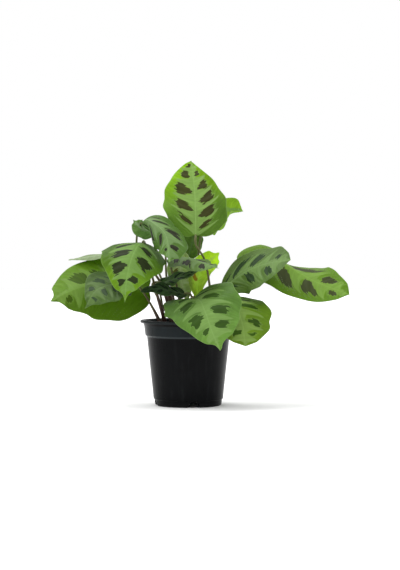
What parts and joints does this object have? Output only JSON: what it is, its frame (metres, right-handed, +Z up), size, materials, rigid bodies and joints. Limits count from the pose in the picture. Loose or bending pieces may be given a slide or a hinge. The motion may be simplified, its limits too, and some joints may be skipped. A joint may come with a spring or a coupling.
{
  "type": "potted prayer plant",
  "caption": "Bushy tropical foliage plant with broad oval blotched leaves on thin stalks, growing from soil in a tapered round nursery pot that stands on its foot ring.",
  "frame": {"origin": "on the ground under the middle of the whole plant's bounding box", "axes": "+Z up, +X towards the plant's right seen from its front, +Y away from its front"},
  "size_m": [0.3244, 0.1392, 0.2682],
  "materials": {
    "pot": "satin",
    "soil": "matte",
    "leaf_top": "satin",
    "stalk_top": "satin",
    "leaf_back_right": "satin",
    "stalk_back_right": "satin",
    "leaf_arching": "satin",
    "stalk_arching": "satin",
    "leaf_arching_small": "satin",
    "stalk_arching_small": "satin",
    "leaf_front_left": "satin",
    "stalk_front_left": "satin",
    "leaf_left": "satin",
    "stalk_left": "satin",
    "leaf_far_left": "satin",
    "stalk_far_left": "satin",
    "leaf_left_inner": "satin",
    "stalk_left_inner": "satin",
    "leaf_dark_centre": "satin",
    "stalk_dark_centre": "satin",
    "leaf_twisted": "satin",
    "stalk_twisted": "satin",
    "leaf_centre_right": "satin",
    "stalk_centre_right": "satin",
    "leaf_hanging": "satin",
    "stalk_hanging": "satin",
    "leaf_back_centre": "satin",
    "stalk_back_centre": "satin",
    "leaf_young": "satin",
    "stalk_young": "satin",
    "leaf_right": "satin",
    "stalk_right": "satin",
    "leaf_far_right": "satin",
    "stalk_far_right": "satin",
    "leaf_front": "satin",
    "stalk_front": "satin",
    "leaf_lower_right": "satin",
    "stalk_lower_right": "satin"
  },
  "bodies": {
    "root": {"pot": "pot", "soil": "soil", "leaf_top": "leaf_top", "stalk_top": "stalk_top", "leaf_back_right": "leaf_back_right", "stalk_back_right": "stalk_back_right", "leaf_arching": "leaf_arching", "stalk_arching": "stalk_arching", "leaf_arching_small": "leaf_arching_small", "stalk_arching_small": "stalk_arching_small", "leaf_front_left": "leaf_front_left", "stalk_front_left": "stalk_front_left", "leaf_left": "leaf_left", "stalk_left": "stalk_left", "leaf_far_left": "leaf_far_left", "stalk_far_left": "stalk_far_left", "leaf_left_inner": "leaf_left_inner", "stalk_left_inner": "stalk_left_inner", "leaf_dark_centre": "leaf_dark_centre", "stalk_dark_centre": "stalk_dark_centre", "leaf_twisted": "leaf_twisted", "stalk_twisted": "stalk_twisted", "leaf_centre_right": "leaf_centre_right", "stalk_centre_right": "stalk_centre_right", "leaf_hanging": "leaf_hanging", "stalk_hanging": "stalk_hanging", "leaf_back_centre": "leaf_back_centre", "stalk_back_centre": "stalk_back_centre", "leaf_young": "leaf_young", "stalk_young": "stalk_young", "leaf_right": "leaf_right", "stalk_right": "stalk_right", "leaf_far_right": "leaf_far_right", "stalk_far_right": "stalk_far_right", "leaf_front": "leaf_front", "stalk_front": "stalk_front", "leaf_lower_right": "leaf_lower_right", "stalk_lower_right": "stalk_lower_right"}
  },
  "joints": []
}
